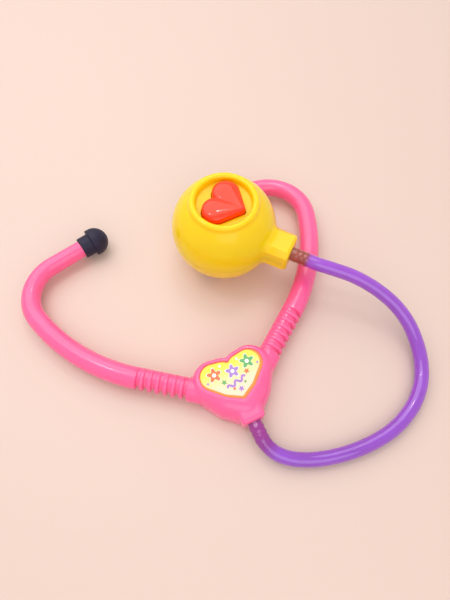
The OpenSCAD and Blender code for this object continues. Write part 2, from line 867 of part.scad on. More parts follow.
yoke_front();
yoke_back();
yoke_sticker();
yoke_screws();
hose_connector();
color(pink) neck("left");  // left_neck
color(pink) neck("right");  // right_neck
color(pink) arm("left");  // left_arm
color(pink) arm("right");  // right_arm
color(navy) ear_tip("left");  // left_ear_tip
color(navy) ear_tip("right");  // right_ear_tip
hose();
chest_connector();
chest_front();
chest_back();
chest_diaphragm();
chest_screws();
heart_button();
heart_spring();
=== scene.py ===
import math
import bmesh
import bpy
from mathutils import Matrix, Vector


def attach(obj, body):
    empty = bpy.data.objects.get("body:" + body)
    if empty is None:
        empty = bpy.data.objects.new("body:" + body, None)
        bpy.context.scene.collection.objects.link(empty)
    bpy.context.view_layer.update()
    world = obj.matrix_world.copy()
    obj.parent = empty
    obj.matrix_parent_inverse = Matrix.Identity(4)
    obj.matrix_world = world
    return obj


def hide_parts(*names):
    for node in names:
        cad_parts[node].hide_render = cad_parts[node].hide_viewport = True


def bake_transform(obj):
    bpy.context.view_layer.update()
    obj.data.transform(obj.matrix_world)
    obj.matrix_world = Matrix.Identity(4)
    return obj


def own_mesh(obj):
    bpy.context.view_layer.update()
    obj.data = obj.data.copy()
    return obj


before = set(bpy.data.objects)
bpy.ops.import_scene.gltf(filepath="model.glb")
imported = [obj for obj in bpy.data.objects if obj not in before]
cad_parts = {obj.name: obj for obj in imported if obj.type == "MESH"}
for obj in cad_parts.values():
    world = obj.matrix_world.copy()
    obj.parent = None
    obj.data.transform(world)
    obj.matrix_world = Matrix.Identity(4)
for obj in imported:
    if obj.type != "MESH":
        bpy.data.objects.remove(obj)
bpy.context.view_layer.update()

mm = 0.001
sharpAngle = 38  # an edge whose faces meet at more degrees than this shows sharp
weldGap = 0.001  # in millimetres; points nearer than this, as those on a lathe's axis, become one


# Small helpers

def heading(degrees):
    return Vector((math.cos(math.radians(degrees)), math.sin(math.radians(degrees)), 0))


def shareOf(count):
    return [i / count for i in range(count + 1)]


def between(a, b, t):
    return a + (b - a) * t


def arcPoints(centre, radius, start, end, count, stretch=1.0):
    # points of an arc in a plane, stretched along the second axis
    made = []
    for t in shareOf(count):
        a = math.radians(start + (end - start) * t)
        made.append((centre[0] + radius * math.cos(a), centre[1] + radius * stretch * math.sin(a)))
    return made


def nodeMiddle(name):
    # the middle of a CAD node's box, in millimetres
    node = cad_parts[name]
    spots = [node.matrix_world @ v.co / mm for v in node.data.vertices]
    return [(min(p[i] for p in spots) + max(p[i] for p in spots)) / 2 for i in range(3)]


def facing(forward):
    # a turn that takes Z to forward
    return forward.to_track_quat("Z", "Y").to_matrix().to_4x4()


def directionAt(line, i):
    return (line[min(i + 1, len(line) - 1)] - line[max(i - 1, 0)]).normalized()


def addObject(name, data):
    thing = bpy.data.objects.new(name, data)
    bpy.context.scene.collection.objects.link(thing)
    return thing


def meshOf(bm, name="body"):
    # the bmesh as a mesh; the bmesh is freed
    mesh = bpy.data.meshes.new(name)
    bm.to_mesh(mesh)
    bm.free()
    return mesh


def finishPiece(name, bm, materials, body, replaced):
    # turns a bmesh in millimetres into an object that rides on a body
    bmesh.ops.scale(bm, vec=(mm, mm, mm), verts=bm.verts)
    piece = addObject(name, meshOf(bm, name))
    for polygon in piece.data.polygons:
        polygon.use_smooth = True
    piece.data.set_sharp_from_angle(angle=math.radians(sharpAngle))
    for material in materials:
        piece.data.materials.append(material)
    if body:
        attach(piece, body)
    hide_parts(*replaced)
    return piece


def newRing(bm, place, forward, radius, count):
    # one open ring of vertices, square to forward
    matrix = Matrix.Translation(place) @ facing(forward)
    ring = bmesh.ops.create_circle(bm, segments=count, radius=radius, matrix=matrix)["verts"]
    return ring, [e for e in bm.edges if e.verts[0] in ring and e.verts[1] in ring]


def growRing(bm, edges, place, forward, lastPlace, lastForward, scale):
    # extrudes a ring's edges, then moves, turns and scales the new ring
    made = bmesh.ops.extrude_edge_only(bm, edges=edges)["geom"]
    verts = [g for g in made if isinstance(g, bmesh.types.BMVert)]
    grown = [g for g in made if isinstance(g, bmesh.types.BMEdge)]
    turn = lastForward.rotation_difference(forward).to_matrix().to_4x4()
    change = Matrix.Translation(place) @ turn @ Matrix.Scale(scale, 4) @ Matrix.Translation(-lastPlace)
    bmesh.ops.transform(bm, matrix=change, verts=verts)
    return verts, grown


def tubeAlong(bm, stations, sides, along=None, closed=False):
    # stations are (place, forward, radius); along, a float layer, takes a fourth number from each
    place, forward, radius = stations[0][:3]
    ring, edges = newRing(bm, place, forward, radius, sides)
    firstEdges = edges
    if along:
        for v in ring:
            v[along] = stations[0][3]
    for station in stations[1:]:
        newPlace, newForward, newRadius = station[:3]
        ring, edges = growRing(bm, edges, newPlace, newForward, place, forward, newRadius / radius)
        place, forward, radius = newPlace, newForward, newRadius
        if along:
            for v in ring:
                v[along] = station[3]
    if closed:
        bmesh.ops.bridge_loops(bm, edges=firstEdges + edges)
    else:
        bmesh.ops.holes_fill(bm, edges=firstEdges, sides=sides)
        bmesh.ops.holes_fill(bm, edges=edges, sides=sides)
    bmesh.ops.recalc_face_normals(bm, faces=bm.faces)


def lathe(bm, profile, matrix, steps, closed=False):
    # spins (radius, height) points about the matrix's Z axis
    verts = [bm.verts.new((r, 0, h)) for r, h in profile]
    edges = [bm.edges.new(pair) for pair in zip(verts, verts[1:])]
    if closed:
        edges.append(bm.edges.new((verts[-1], verts[0])))
    before = set(bm.verts) - set(verts)
    bmesh.ops.spin(bm, geom=verts + edges, cent=(0, 0, 0), axis=(0, 0, 1), angle=math.tau,
                   steps=steps, use_merge=True)
    bmesh.ops.remove_doubles(bm, verts=[v for v in bm.verts if v not in before], dist=weldGap)
    bmesh.ops.transform(bm, matrix=matrix, verts=[v for v in bm.verts if v not in before])
    bmesh.ops.recalc_face_normals(bm, faces=bm.faces)


def addRing(bm, points):
    # a closed line, as edges
    verts = [bm.verts.new(p) for p in points]
    return [bm.edges.new((verts[i - 1], v)) for i, v in enumerate(verts)]


def skinOver(bm, rings):
    # walls between rings of equally many points, and a face over each end
    loops = [addRing(bm, ring) for ring in rings]
    for a, b in zip(loops, loops[1:]):
        bmesh.ops.bridge_loops(bm, edges=a + b)
    for end in (loops[0], loops[-1]):
        bmesh.ops.holes_fill(bm, edges=end, sides=len(end))
    bmesh.ops.recalc_face_normals(bm, faces=bm.faces)


def roundBar(bm, radius, matrix, start, end, sides=48):
    # a cylinder on the matrix's Z axis
    lift = matrix @ Matrix.Translation((0, 0, (start + end) / 2))
    bmesh.ops.create_cone(bm, cap_ends=True, segments=sides, radius1=radius, radius2=radius,
                          depth=end - start, matrix=lift)


def sideTurn(a, b):
    # heading of the outward normal of the line that touches discs a and b
    span = math.hypot(b[0] - a[0], b[1] - a[1])
    return math.degrees(math.atan2(b[1] - a[1], b[0] - a[0]) + math.acos((a[2] - b[2]) / span))


heartSteps = {"disc": 20, "side": 4, "notch": 8, "leastRadius": 0.02}


def heartRing(discs, notchR, inset, height):
    # a heart's outline drawn inward by inset, from discs (x, y, radius) that run from its tip up to its brow
    tip, brow = discs[0], discs[-1]
    notchY = brow[1] + math.sqrt((brow[2] + notchR) ** 2 - brow[0] ** 2)
    turns = [-90] + [sideTurn(b, a) for a, b in zip(discs, discs[1:])]
    turns.append(math.degrees(math.atan2(notchY - brow[1], -brow[0])))
    tipShift = max(0, inset - tip[2]) / -math.sin(math.radians(turns[1]))
    right = []
    for disc, start, end in zip(discs, turns, turns[1:]):
        centre = (disc[0], disc[1] + (tipShift if disc is tip else 0))
        radius = max(heartSteps["leastRadius"], disc[2] - inset)
        arc = arcPoints(centre, radius, start, end, heartSteps["disc"])
        if right:
            right += [(between(right[-1][0], arc[0][0], t), between(right[-1][1], arc[0][1], t))
                      for t in shareOf(heartSteps["side"])[1:-1]]
        right += arc
    right += arcPoints((0, notchY), notchR + inset, turns[-1] - 180, -90, heartSteps["notch"])[1:]
    left = [(-x, y) for x, y in reversed(right[1:-1])]
    return [(x, y, height) for x, y in right + left]


def mirror(bm):
    bmesh.ops.scale(bm, vec=(-1, 1, 1), verts=bm.verts)
    bmesh.ops.recalc_face_normals(bm, faces=bm.faces)


def takeMesh(body, *tools):
    # a bmesh of the body with its modifiers applied; the objects are thrown away
    shown = body.evaluated_get(bpy.context.evaluated_depsgraph_get())
    made = bpy.data.meshes.new_from_object(shown)
    bm = bmesh.new()
    bm.from_mesh(made)
    bpy.data.meshes.remove(made)
    for thing in (body, *tools):
        mesh = thing.data
        bpy.data.objects.remove(thing)
        bpy.data.meshes.remove(mesh)
    return bm


def carved(bm, cutters, operation="DIFFERENCE"):
    # bm with each bmesh among the cutters taken away or added
    body = addObject("body", meshOf(bm))
    tools = [addObject("tool", meshOf(cutter)) for cutter in cutters]
    for tool in tools:
        step = body.modifiers.new("cut", "BOOLEAN")
        step.object = tool
        step.operation = operation
        step.solver = "EXACT"
    return takeMesh(body, *tools)


meltSoftness = 0.5


def melted(bm, voxel, rounds):
    # closed shapes that overlap, melted into one skin; the rounds of smoothing leave soft fillets
    body = addObject("body", meshOf(bm))
    step = body.modifiers.new("melt", "REMESH")
    step.mode = "VOXEL"
    step.voxel_size = voxel
    soften = body.modifiers.new("soften", "SMOOTH")
    soften.factor = meltSoftness
    soften.iterations = rounds
    return takeMesh(body)


# Camera

cameraLook = {
    "place": (-27.9, -56.0, 216.8), "pitchDown": 65.04, "yaw": 24.59,
    "focal": 480.0, "imageHeight": 600,  # both in pixels
    "sensor": 36.0, "clipStart": 1,
}


def makeCamera():
    data = bpy.data.cameras.new("camera")
    data.sensor_fit = "VERTICAL"
    data.sensor_height = cameraLook["sensor"]
    data.lens = cameraLook["focal"] * cameraLook["sensor"] / cameraLook["imageHeight"]
    data.clip_start = cameraLook["clipStart"] * mm
    camera = addObject("camera", data)
    camera.location = Vector(cameraLook["place"]) * mm
    camera.rotation_euler = (math.radians(90 - cameraLook["pitchDown"]), 0, -math.radians(cameraLook["yaw"]))
    bpy.context.scene.camera = camera


makeCamera()
bpy.context.scene.view_settings.view_transform = "Standard"
print("camera set")


# Materials

def newMaterial(name):
    material = bpy.data.materials.new(name)
    material.use_nodes = True
    tree = material.node_tree
    return material, tree, tree.nodes["Principled BSDF"]


def addNode(tree, kind, **values):
    node = tree.nodes.new(kind)
    for key, value in values.items():
        if hasattr(node, key):
            setattr(node, key, value)
        else:
            node.inputs[key].default_value = value
    return node


constantSockets = {
    "coat": "Coat Weight", "coatRoughness": "Coat Roughness", "ior": "IOR", "shine": "Specular IOR Level",
    "glow": "Subsurface Weight", "glowColour": "Subsurface Radius", "glowDepth": "Subsurface Scale",
    "clear": "Transmission Weight", "metal": "Metallic",
}


def setConstants(shader, look):
    for key, socket in constantSockets.items():
        if key in look:
            shader.inputs[socket].default_value = look[key]


def addNoise(tree, scale, detail):
    where = addNode(tree, "ShaderNodeTexCoord")
    noise = addNode(tree, "ShaderNodeTexNoise", Scale=scale, Detail=detail)
    tree.links.new(where.outputs["Object"], noise.inputs["Vector"])
    return noise.outputs["Fac"]


def addRange(tree, share, low, high):
    # a number that runs from low to high as share runs from 0 to 1
    span = addNode(tree, "ShaderNodeMapRange")
    span.inputs["To Min"].default_value = low
    span.inputs["To Max"].default_value = high
    tree.links.new(share, span.inputs["Value"])
    return span.outputs["Result"]


def addTint(tree, share, colour, colour2):
    # a colour that runs from the first to the second
    tint = addNode(tree, "ShaderNodeMix", data_type="RGBA")
    tint.inputs["A"].default_value = (*colour, 1)
    tint.inputs["B"].default_value = (*colour2, 1)
    tree.links.new(share, tint.inputs["Factor"])
    return tint.outputs["Result"]


def mouldedPlastic(name, look):
    # glossy plastic: colour that drifts a little, uneven gloss and the soft waves of a moulded skin
    material, tree, shader = newMaterial(name)
    drift = addNoise(tree, look["driftScale"], look["driftDetail"])
    fine = addNoise(tree, look["grainScale"], look["grainDetail"])
    wave = addNoise(tree, look["waveScale"], look["waveDetail"])
    tree.links.new(addTint(tree, drift, look["colour"], look["colour2"]), shader.inputs["Base Color"])
    gloss = [look["roughness"] * share for share in look["glossSpan"]]
    tree.links.new(addRange(tree, fine, *gloss), shader.inputs["Roughness"])
    skin = addNode(tree, "ShaderNodeBump", Strength=look["wave"], Distance=look["waveHeight"])
    tree.links.new(wave, skin.inputs["Height"])
    grain = addNode(tree, "ShaderNodeBump", Strength=look["grain"], Distance=look["grainHeight"])
    tree.links.new(fine, grain.inputs["Height"])
    tree.links.new(skin.outputs["Normal"], grain.inputs["Normal"])
    tree.links.new(grain.outputs["Normal"], shader.inputs["Normal"])
    setConstants(shader, look)
    return material


plasticBase = {
    "driftScale": 60.0, "driftDetail": 3.0, "grainScale": 2500.0, "grainDetail": 4.0,
    "waveScale": 160.0, "waveDetail": 1.0, "wave": 0.12, "waveHeight": 0.0004,
    "grain": 0.05, "grainHeight": 0.00002,
    "roughness": 0.22, "glossSpan": (0.7, 1.3), "coat": 0.5, "coatRoughness": 0.08, "ior": 1.49, "shine": 0.5,
    "glow": 0.25, "glowColour": (1.0, 0.3, 0.3), "glowDepth": 0.002,
}
pinkPlastic = mouldedPlastic("pinkPlastic", dict(
    plasticBase, colour=(1.0, 0.097, 0.295), colour2=(1.0, 0.13, 0.35)))
yellowPlastic = mouldedPlastic("yellowPlastic", dict(
    plasticBase, colour=(1.0, 0.61, 0.002), colour2=(1.0, 0.67, 0.004), roughness=0.2, coat=0.15, shine=0.3,
    glow=0.5, glowColour=(1.0, 0.55, 0.05), glowDepth=0.004))
redPlastic = mouldedPlastic("redPlastic", dict(
    plasticBase, colour=(0.96, 0.035, 0.003), colour2=(1.0, 0.05, 0.006), roughness=0.1, coat=0.3, shine=0.4,
    glow=0.35, glowColour=(1.0, 0.15, 0.05), glowDepth=0.003))
creamPlastic = mouldedPlastic("creamPlastic", dict(
    plasticBase, colour=(0.92, 0.84, 0.6), colour2=(0.95, 0.88, 0.66), roughness=0.35, coat=0.1))
navyRubber = mouldedPlastic("navyRubber", dict(
    plasticBase, colour=(0.012, 0.009, 0.03), colour2=(0.018, 0.013, 0.042), roughness=0.5,
    coat=0.0, shine=0.35, grain=0.25, glow=0.0))

steelLook = {
    "streakScale": 4000.0, "streakDetail": 3.0, "gloss": (0.18, 0.42),
    "colour": (0.55, 0.55, 0.57), "colour2": (0.72, 0.72, 0.74), "metal": 1.0,
}


def brushedSteel():
    # bright wire and screws: fine streaks in the gloss, faintly uneven colour
    material, tree, shader = newMaterial("brushedSteel")
    streaks = addNoise(tree, steelLook["streakScale"], steelLook["streakDetail"])
    tint = addTint(tree, streaks, steelLook["colour"], steelLook["colour2"])
    tree.links.new(tint, shader.inputs["Base Color"])
    tree.links.new(addRange(tree, streaks, *steelLook["gloss"]), shader.inputs["Roughness"])
    setConstants(shader, steelLook)
    return material


steel = brushedSteel()
print("plastics and steel made")


# Hose, which ends at the chest piece's stem

chestPlace = {"at": nodeMiddle("chest_diaphragm")[:2], "stemTurn": -50, "stemReach": 35, "ballZ": 22}
hose = {
    "exit": (0, -25.5, 7), "straight": (0, -29.5, 7),
    "radius": 3.25, "bore": 2.1, "sides": 32, "steps": 10,
    # runs out from the stem's face, where the hose comes in straight
    "backRuns": (13, 6.5, 0),
    "middle": (
        (0.4, -34.6, 6.2), (2.6, -39.8, 5.1), (6.6, -44, 4.2), (11.8, -47.2, 3.6),
        (18.2, -49.9, 3.3), (25.8, -52, 3.3), (34.4, -53.4, 3.3), (43.5, -53.8, 3.3),
        (53, -53, 3.3), (62, -50.4, 3.3), (70.2, -46.2, 3.4), (77, -40.2, 3.9),
        (81.8, -32.5, 5.1), (84.4, -23.6, 7.1), (84.7, -14.3, 10.1), (82.4, -5.4, 13.4),
        (78.2, 2.4, 16.4), (73.3, 9, 18.8), (68.1, 14.6, 20.5), (62.6, 19.6, 21.5),
    ),
    "barbs": (2.4, 4.9, 7.4), "barbRise": 0.22, "barbWide": 0.6,
}
vinylLook = {
    # share of the hose's length, colour
    "marks": ((0.0, (0.54, 0.018, 0.46)), (0.055, (0.46, 0.02, 0.52)), (0.085, (0.50, 0.09, 0.95)),
              (0.95, (0.58, 0.11, 1.0)), (0.96, (0.52, 0.06, 0.05)), (1.0, (0.60, 0.09, 0.02))),
    "driftScale": 90.0, "driftDetail": 2.0, "depth": (0.70, 1.0), "gloss": (0.05, 0.14),
    "ior": 1.5, "clear": 0.45, "coat": 1.0, "coatRoughness": 0.03,
}


def hoseRoute():
    stem = heading(chestPlace["stemTurn"])
    face = Vector((*chestPlace["at"], chestPlace["ballZ"])) + stem * chestPlace["stemReach"]
    ends = [face + stem * run for run in hose["backRuns"]]
    return [Vector(p) for p in (hose["exit"], hose["straight"], *hose["middle"])] + ends


def smoothRoute(points, steps):
    # a smooth line through the points, in cubic pieces that share their slopes
    line = []
    for i in range(len(points) - 1):
        before, start = points[max(i - 1, 0)], points[i]
        end, after = points[i + 1], points[min(i + 2, len(points) - 1)]
        reach = (end - start).length
        a = start + (end - before).normalized() * reach / 3
        b = end - (after - start).normalized() * reach / 3
        for t in shareOf(steps)[:-1]:
            u = 1 - t
            line.append(start * u ** 3 + a * 3 * u * u * t + b * 3 * u * t * t + end * t ** 3)
    line.append(points[-1])
    return line


def hoseVinyl():
    # see-through vinyl; over the spigots it takes their colour
    material, tree, shader = newMaterial("hoseVinyl")
    along = addNode(tree, "ShaderNodeAttribute", attribute_name="along")
    ramp = addNode(tree, "ShaderNodeValToRGB")
    tree.links.new(along.outputs["Fac"], ramp.inputs["Fac"])
    marks = ramp.color_ramp.elements
    while len(marks) < len(vinylLook["marks"]):
        marks.new(0.5)
    for mark, (place, colour) in zip(marks, vinylLook["marks"]):
        mark.position = place
        mark.color = (*colour, 1)
    drift = addNoise(tree, vinylLook["driftScale"], vinylLook["driftDetail"])
    tint = addNode(tree, "ShaderNodeVectorMath", operation="SCALE")
    tree.links.new(ramp.outputs["Color"], tint.inputs["Vector"])
    tree.links.new(addRange(tree, drift, *vinylLook["depth"]), tint.inputs["Scale"])
    tree.links.new(tint.outputs["Vector"], shader.inputs["Base Color"])
    tree.links.new(addRange(tree, drift, *vinylLook["gloss"]), shader.inputs["Roughness"])
    setConstants(shader, vinylLook)
    return material


def barbRise(run):
    # the hose swells a little over each barb of a spigot
    return sum(hose["barbRise"] * math.exp(-((run - at) / hose["barbWide"]) ** 2) for at in hose["barbs"])


def makeHose():
    line = smoothRoute(hoseRoute(), hose["steps"])
    lengths = [0.0]
    for a, b in zip(line, line[1:]):
        lengths.append(lengths[-1] + (b - a).length)
    total = lengths[-1]
    bm = bmesh.new()
    along = bm.verts.layers.float.new("along")
    stations = []
    for i, (place, run) in enumerate(zip(line, lengths)):
        swell = barbRise(run) + barbRise(total - run)
        stations.append((place, directionAt(line, i), hose["radius"] + swell, run / total))
    inner = [(place, forward, hose["bore"], share) for place, forward, _, share in reversed(stations)]
    tubeAlong(bm, stations + inner, hose["sides"], along, closed=True)
    piece = finishPiece("softHose", bm, [hoseVinyl()], "root", ["hose"])
    print("hose made, mm long:", round(total, 1))


makeHose()


# Arms with their ribbed necks

arm = {
    "plane": 7.0, "rootX": 20.3, "splay": 36.5,
    "ribs": 6, "ribWidth": 2.1, "grooveWidth": 1.5, "grooveDeep": 1.7,
    "bowRadius": 92.0, "bowTurn": 36.5, "bendRadius": 19.5, "bendTurn": 95.0, "earRun": 16.5,
    "rootDiameter": 10.2, "endDiameter": 8.5,
    "shankDiameter": 6.6, "shankLength": 9.4, "flangeDiameter": 9.0, "flangeThick": 2.0,
    "pegDiameter": 5.0, "pegLength": 9.0,
    "ribAngles": (-90, -82, -60, -35, 0, 35, 60, 82, 90), "ribPower": 0.7,
    # where the ribs end: run past the neck, share of the full radius
    "shoulder": ((-0.25, 0.0), (-0.1, 0.55), (0.15, 0.93)),
    "firstRing": 0.5, "step": 0.05, "endRound": 0.93,
    "bowSteps": 24, "bendSteps": 24, "earSteps": 5, "sides": 40,
}
arm["neckLength"] = arm["ribs"] * arm["ribWidth"] + (arm["ribs"] + 1) * arm["grooveWidth"]


def leftOf(degrees):
    return Vector((-math.sin(math.radians(degrees)), math.cos(math.radians(degrees)), 0))


def onArc(start, turn, radius, sweep):
    # where an arc that sets out from start, heading for turn, is after a sweep
    return start + (leftOf(turn) - leftOf(turn + sweep)) * radius


def armPath():
    # places, turns and lengths from the neck's outer end to the ear tip
    splay, bow, bend = arm["splay"], arm["bowTurn"], arm["bendTurn"]
    bowR, bendR, earRun = arm["bowRadius"], arm["bendRadius"], arm["earRun"]
    bowStart = Vector((arm["rootX"], 0, arm["plane"])) + heading(splay) * arm["neckLength"]
    bowEnd = onArc(bowStart, splay, bowR, bow)
    bendAt, earTurn = splay + bow, splay + bow + bend
    bendEnd = onArc(bowEnd, bendAt, bendR, bend)
    bowLength, bendLength = bowR * math.radians(bow), bendR * math.radians(bend)
    path = [(onArc(bowStart, splay, bowR, bow * t), splay + bow * t, bowLength * t)
            for t in shareOf(arm["bowSteps"])]
    path += [(onArc(bowEnd, bendAt, bendR, bend * t), bendAt + bend * t, bowLength + bendLength * t)
             for t in shareOf(arm["bendSteps"])[1:]]
    path += [(bendEnd + heading(earTurn) * earRun * t, earTurn, bowLength + bendLength + earRun * t)
             for t in shareOf(arm["earSteps"])[1:]]
    return path


def neckStations():
    # ridges on the outer side; a groove's ring shifts inward, so the inner side stays smooth
    forward = heading(arm["splay"])
    inward = leftOf(arm["splay"])
    root = Vector((arm["rootX"], 0, arm["plane"]))
    full = arm["rootDiameter"] / 2
    deep = arm["grooveDeep"]

    def station(run, share):
        # share is 1 on a ridge's crest and 0 in a groove
        radius = full - deep / 2 * (1 - share)
        return root + forward * run + inward * (deep / 2) * (1 - share), forward, radius

    shank, flange = arm["shankDiameter"] / 2, arm["flangeDiameter"] / 2
    flangeEnd, step = arm["flangeThick"] - arm["shankLength"], arm["step"]
    stations = [(root + forward * run, forward, radius) for run, radius in (
        (-arm["shankLength"], flange), (flangeEnd, flange), (flangeEnd + step, shank), (-step, shank))]
    stations.append(station(0, 0))
    for i in range(arm["ribs"]):
        middle = arm["grooveWidth"] + i * (arm["ribWidth"] + arm["grooveWidth"]) + arm["ribWidth"] / 2
        for angle in arm["ribAngles"]:
            a = math.radians(angle)
            run = middle + arm["ribWidth"] / 2 * math.sin(a)
            stations.append(station(run, abs(math.cos(a)) ** arm["ribPower"]))
    return stations + [station(arm["neckLength"] + run, share) for run, share in arm["shoulder"]]


def makeArm(side):
    stations = neckStations()
    path = armPath()
    whole = path[-1][2]
    startR, endR = arm["rootDiameter"] / 2, arm["endDiameter"] / 2
    for place, turn, run in path[1:]:
        if run > arm["firstRing"]:
            stations.append((place, heading(turn), startR + (endR - startR) * run / whole))
    end, earTurn, _ = path[-1]
    ear = heading(earTurn)
    for run, radius in ((arm["step"], endR * arm["endRound"]), (2 * arm["step"], arm["pegDiameter"] / 2),
                        (arm["pegLength"], arm["pegDiameter"] / 2)):
        stations.append((end + ear * run, ear, radius))
    bm = bmesh.new()
    tubeAlong(bm, stations, arm["sides"])
    if side == "left":
        mirror(bm)
    flip = -1 if side == "left" else 1
    name = side + "_arm"
    piece = finishPiece(side + "ArmMoulding", bm, [pinkPlastic], None, [side + "_neck", name])
    reach = heading(arm["splay"]) * arm["neckLength"] * mm
    reach.x *= flip
    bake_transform(piece)


for side in ("left", "right"):
    makeArm(side)
print("arms made")


# Ear tips

earTip = {
    "sleeveRadius": 5.3, "sleeveLength": 5.6, "domeRadius": 6.9, "domeLength": 8.6,
    "boreRadius": 2.55, "boreLength": 9.1, "gap": 0.1, "edge": 0.35, "belly": 1.6, "domeStart": 4,
    # just under the belly: depth, run from the sleeve's end
    "underBelly": (0.02, 1.1),
    "edgeSteps": 4, "hollowSteps": 3, "domeSteps": 16, "steps": 64,
}


def earTipProfile():
    t = earTip
    edge, gap, sleeve = t["edge"], t["gap"], t["sleeveRadius"]
    length, dome = t["sleeveLength"], t["domeRadius"]
    profile = [(0, t["boreLength"]), (t["boreRadius"], t["boreLength"]), (t["boreRadius"], gap)]
    profile += arcPoints((sleeve - edge, gap + edge), edge, -90, 0, t["edgeSteps"])
    profile += arcPoints((sleeve + edge, length - edge), edge, 180, 90, t["hollowSteps"])
    profile += arcPoints((dome - edge, length + edge), edge, -90, 0, t["edgeSteps"])
    profile += [(dome - t["underBelly"][0], length + t["underBelly"][1])]
    profile += arcPoints((0, length + t["belly"]), dome, t["domeStart"], 90, t["domeSteps"],
                         stretch=(t["domeLength"] - t["belly"]) / dome)
    profile[-1] = (0, profile[-1][1])
    return profile


def makeEarTip(side):
    end, earTurn, _ = armPath()[-1]
    bm = bmesh.new()
    lathe(bm, earTipProfile(), Matrix.Translation(end) @ facing(heading(earTurn)), earTip["steps"])
    if side == "left":
        mirror(bm)
    finishPiece(side + "SoftEarTip", bm, [navyRubber], side + "_arm", [side + "_ear_tip"])


for side in ("left", "right"):
    makeEarTip(side)
print("ear tips made")


# Yoke

yoke = {
    "outer": ((0, -17.0, 8.0), (3.6, -9.3, 11.5), (8.9, -3.0, 10.4), (5.4, -3.8, 10.6)),
    "sticker": ((0, -14.9, 0.6), (2.6, -6.1, 7.0), (8.4, -1.6, 6.2), (4.6, -2.6, 6.6)),
    "margin": 0.9, "notchR": 2.4, "topNotchR": 0.8, "stickerNotchR": 0.5, "hollowNotchR": 0.3,
    "height": 13.8, "slopeZ": 5.5, "slopeSteps": 14, "edgeRound": 1.2, "edgeSteps": 4,
    "collarR": 5.5, "collarRun": 9.4, "recessDeep": 0.8, "recessGap": 0.1, "recessFlare": 0.2,
    "blockStart": -17.0, "blockEnd": -25.5, "blockWidth": 11.0, "blockRound": 1.8, "blockSteps": 5,
    "coverInset": 1.9, "coverThick": 2.0, "wall": 2.6, "shoulderZ": 10.2, "cavityTop": 11.6,
    "shankBore": 3.4, "spigotBore": 2.3, "past": 1, "step": 0.01, "voxel": 0.35, "softRounds": 4,
}


def yokeDiscs(t):
    # from the outer heart to the flat one round the sticker
    top = [(x, y, r + yoke["margin"]) for x, y, r in yoke["sticker"]]
    return [tuple(between(o, i, t) for o, i in zip(outer, inner)) for outer, inner in zip(yoke["outer"], top)]


def yokeRings():
    edge, low, high = yoke["edgeRound"], yoke["slopeZ"], yoke["height"]
    rings = [heartRing(yokeDiscs(0), yoke["notchR"], edge + x, z)
             for x, z in arcPoints((0, edge), edge, -90, -180, yoke["edgeSteps"])]
    for x, z in arcPoints((0, 0), 1, 0, 90, yoke["slopeSteps"]):
        notch = between(yoke["notchR"], yoke["topNotchR"], 1 - x)
        rings.append(heartRing(yokeDiscs(1 - x), notch, 0, between(low, high, z)))
    return rings


def neckMatrix(turn):
    # Z runs out of the yoke along a neck, from its first groove
    flip = 1 if turn < 90 else -1
    return Matrix.Translation((flip * arm["rootX"], 0, arm["plane"])) @ facing(heading(turn))


def yokeBody():
    # puffy heart, two collars and the rounded square block
    bm = bmesh.new()
    skinOver(bm, yokeRings())
    for turn in (arm["splay"], 180 - arm["splay"]):
        roundBar(bm, yoke["collarR"], neckMatrix(turn), -yoke["collarRun"], 0)
    middle = (0, (yoke["blockStart"] + yoke["blockEnd"]) / 2, arm["plane"])
    size = Matrix.Diagonal((yoke["blockWidth"], yoke["blockStart"] - yoke["blockEnd"], yoke["blockWidth"], 1))
    block = bmesh.ops.create_cube(bm, size=1, matrix=Matrix.Translation(middle) @ size)["verts"]
    bmesh.ops.bevel(bm, geom=[e for e in bm.edges if e.verts[0] in block], offset=yoke["blockRound"],
                    segments=yoke["blockSteps"], profile=0.5, affect="EDGES", material=-1)
    return melted(bm, yoke["voxel"], yoke["softRounds"])


def makeYokeShell():
    past, notchR = yoke["past"], yoke["hollowNotchR"]
    hollow = bmesh.new()
    skinOver(hollow, [heartRing(yoke["outer"], notchR, inset, z) for inset, z in (
        (yoke["coverInset"], -past), (yoke["coverInset"], yoke["coverThick"]),
        (yoke["wall"], yoke["coverThick"] + yoke["step"]), (yoke["wall"], yoke["shoulderZ"]))])
    top = bmesh.new()
    skinOver(top, [heartRing(yoke["sticker"], notchR, 0, z)
                   for z in (yoke["coverThick"] + past, yoke["cavityTop"])])
    holes = bmesh.new()
    recess = ((yoke["recessGap"], -yoke["recessDeep"]), (yoke["recessGap"] + yoke["recessFlare"], past))
    skinOver(holes, [heartRing(yoke["sticker"], yoke["stickerNotchR"], -grown, yoke["height"] + z)
                     for grown, z in recess])
    for turn in (arm["splay"], 180 - arm["splay"]):
        roundBar(holes, yoke["shankBore"], neckMatrix(turn), -arm["shankLength"], past)
    down = Matrix.Translation((0, 0, arm["plane"])) @ facing(Vector((0, -1, 0)))
    roundBar(holes, yoke["spigotBore"], down, -yoke["blockStart"], past - yoke["blockEnd"])
    bm = carved(yokeBody(), [hollow, top, holes])
    finishPiece("puffyYoke", bm, [pinkPlastic], "root", ["yoke_front"])


makeYokeShell()
print("yoke made")


# Sticker: an orange border, a ground that fades downward, and printed shapes

